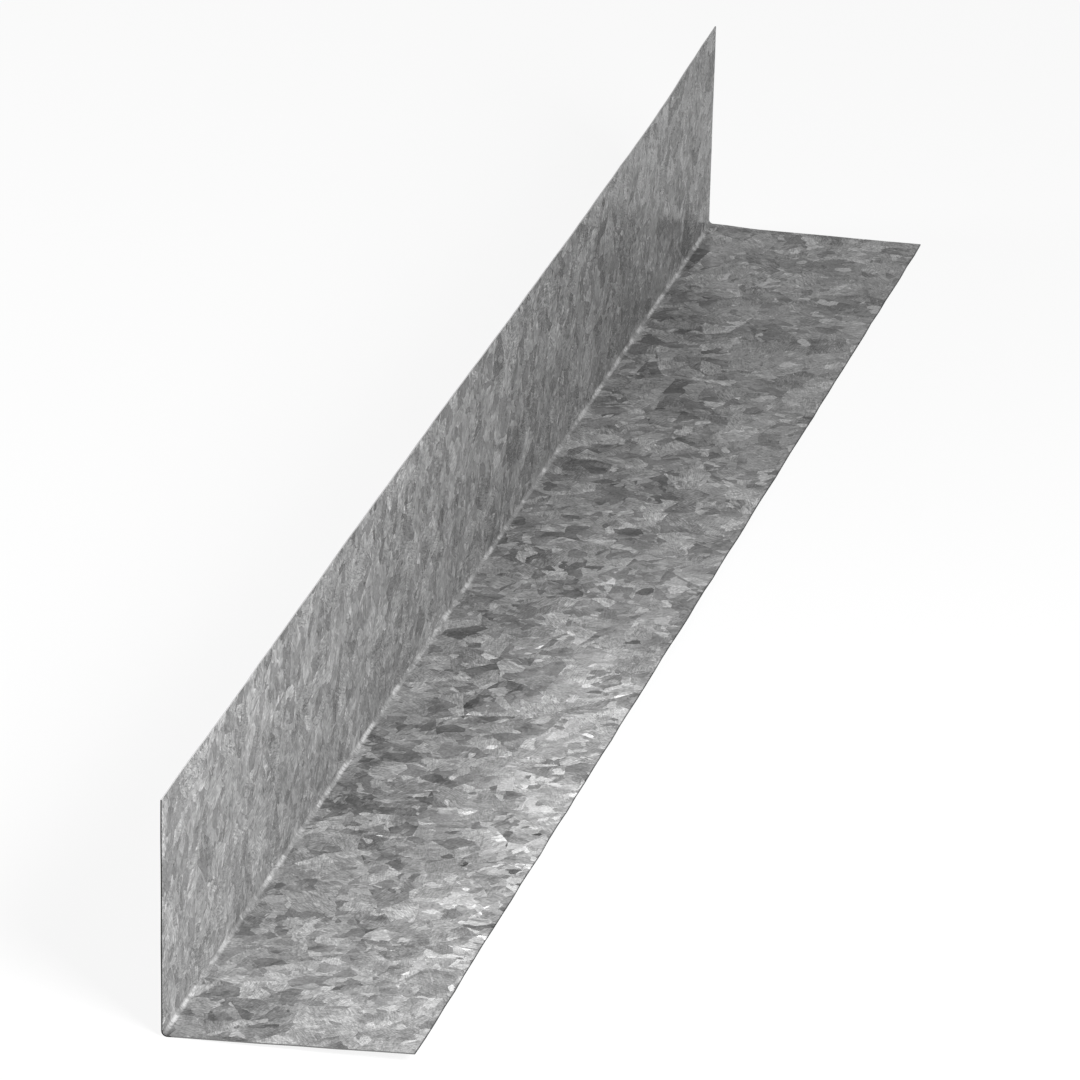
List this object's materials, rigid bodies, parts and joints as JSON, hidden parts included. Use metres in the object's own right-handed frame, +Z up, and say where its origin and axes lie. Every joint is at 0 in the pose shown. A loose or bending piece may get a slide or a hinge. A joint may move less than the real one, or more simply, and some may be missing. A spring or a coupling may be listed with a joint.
{
  "type": "metal angle section",
  "caption": "Plain L-shaped length of light galvanised steel sheet, folded into equal square legs, for capping, closing or joining edges.",
  "frame": {"origin": "bottom centre of the box round the whole piece, on the floor", "axes": "+X across the base leg from the heel to its toe, +Y along the length, +Z up the upright leg"},
  "size_m": [0.1016, 0.9144, 0.1016],
  "materials": {
    "galvanised_sheet": "hot-dip galvanised, spangled, satin"
  },
  "bodies": {
    "root": {"angle_section": "galvanised_sheet"}
  },
  "joints": []
}
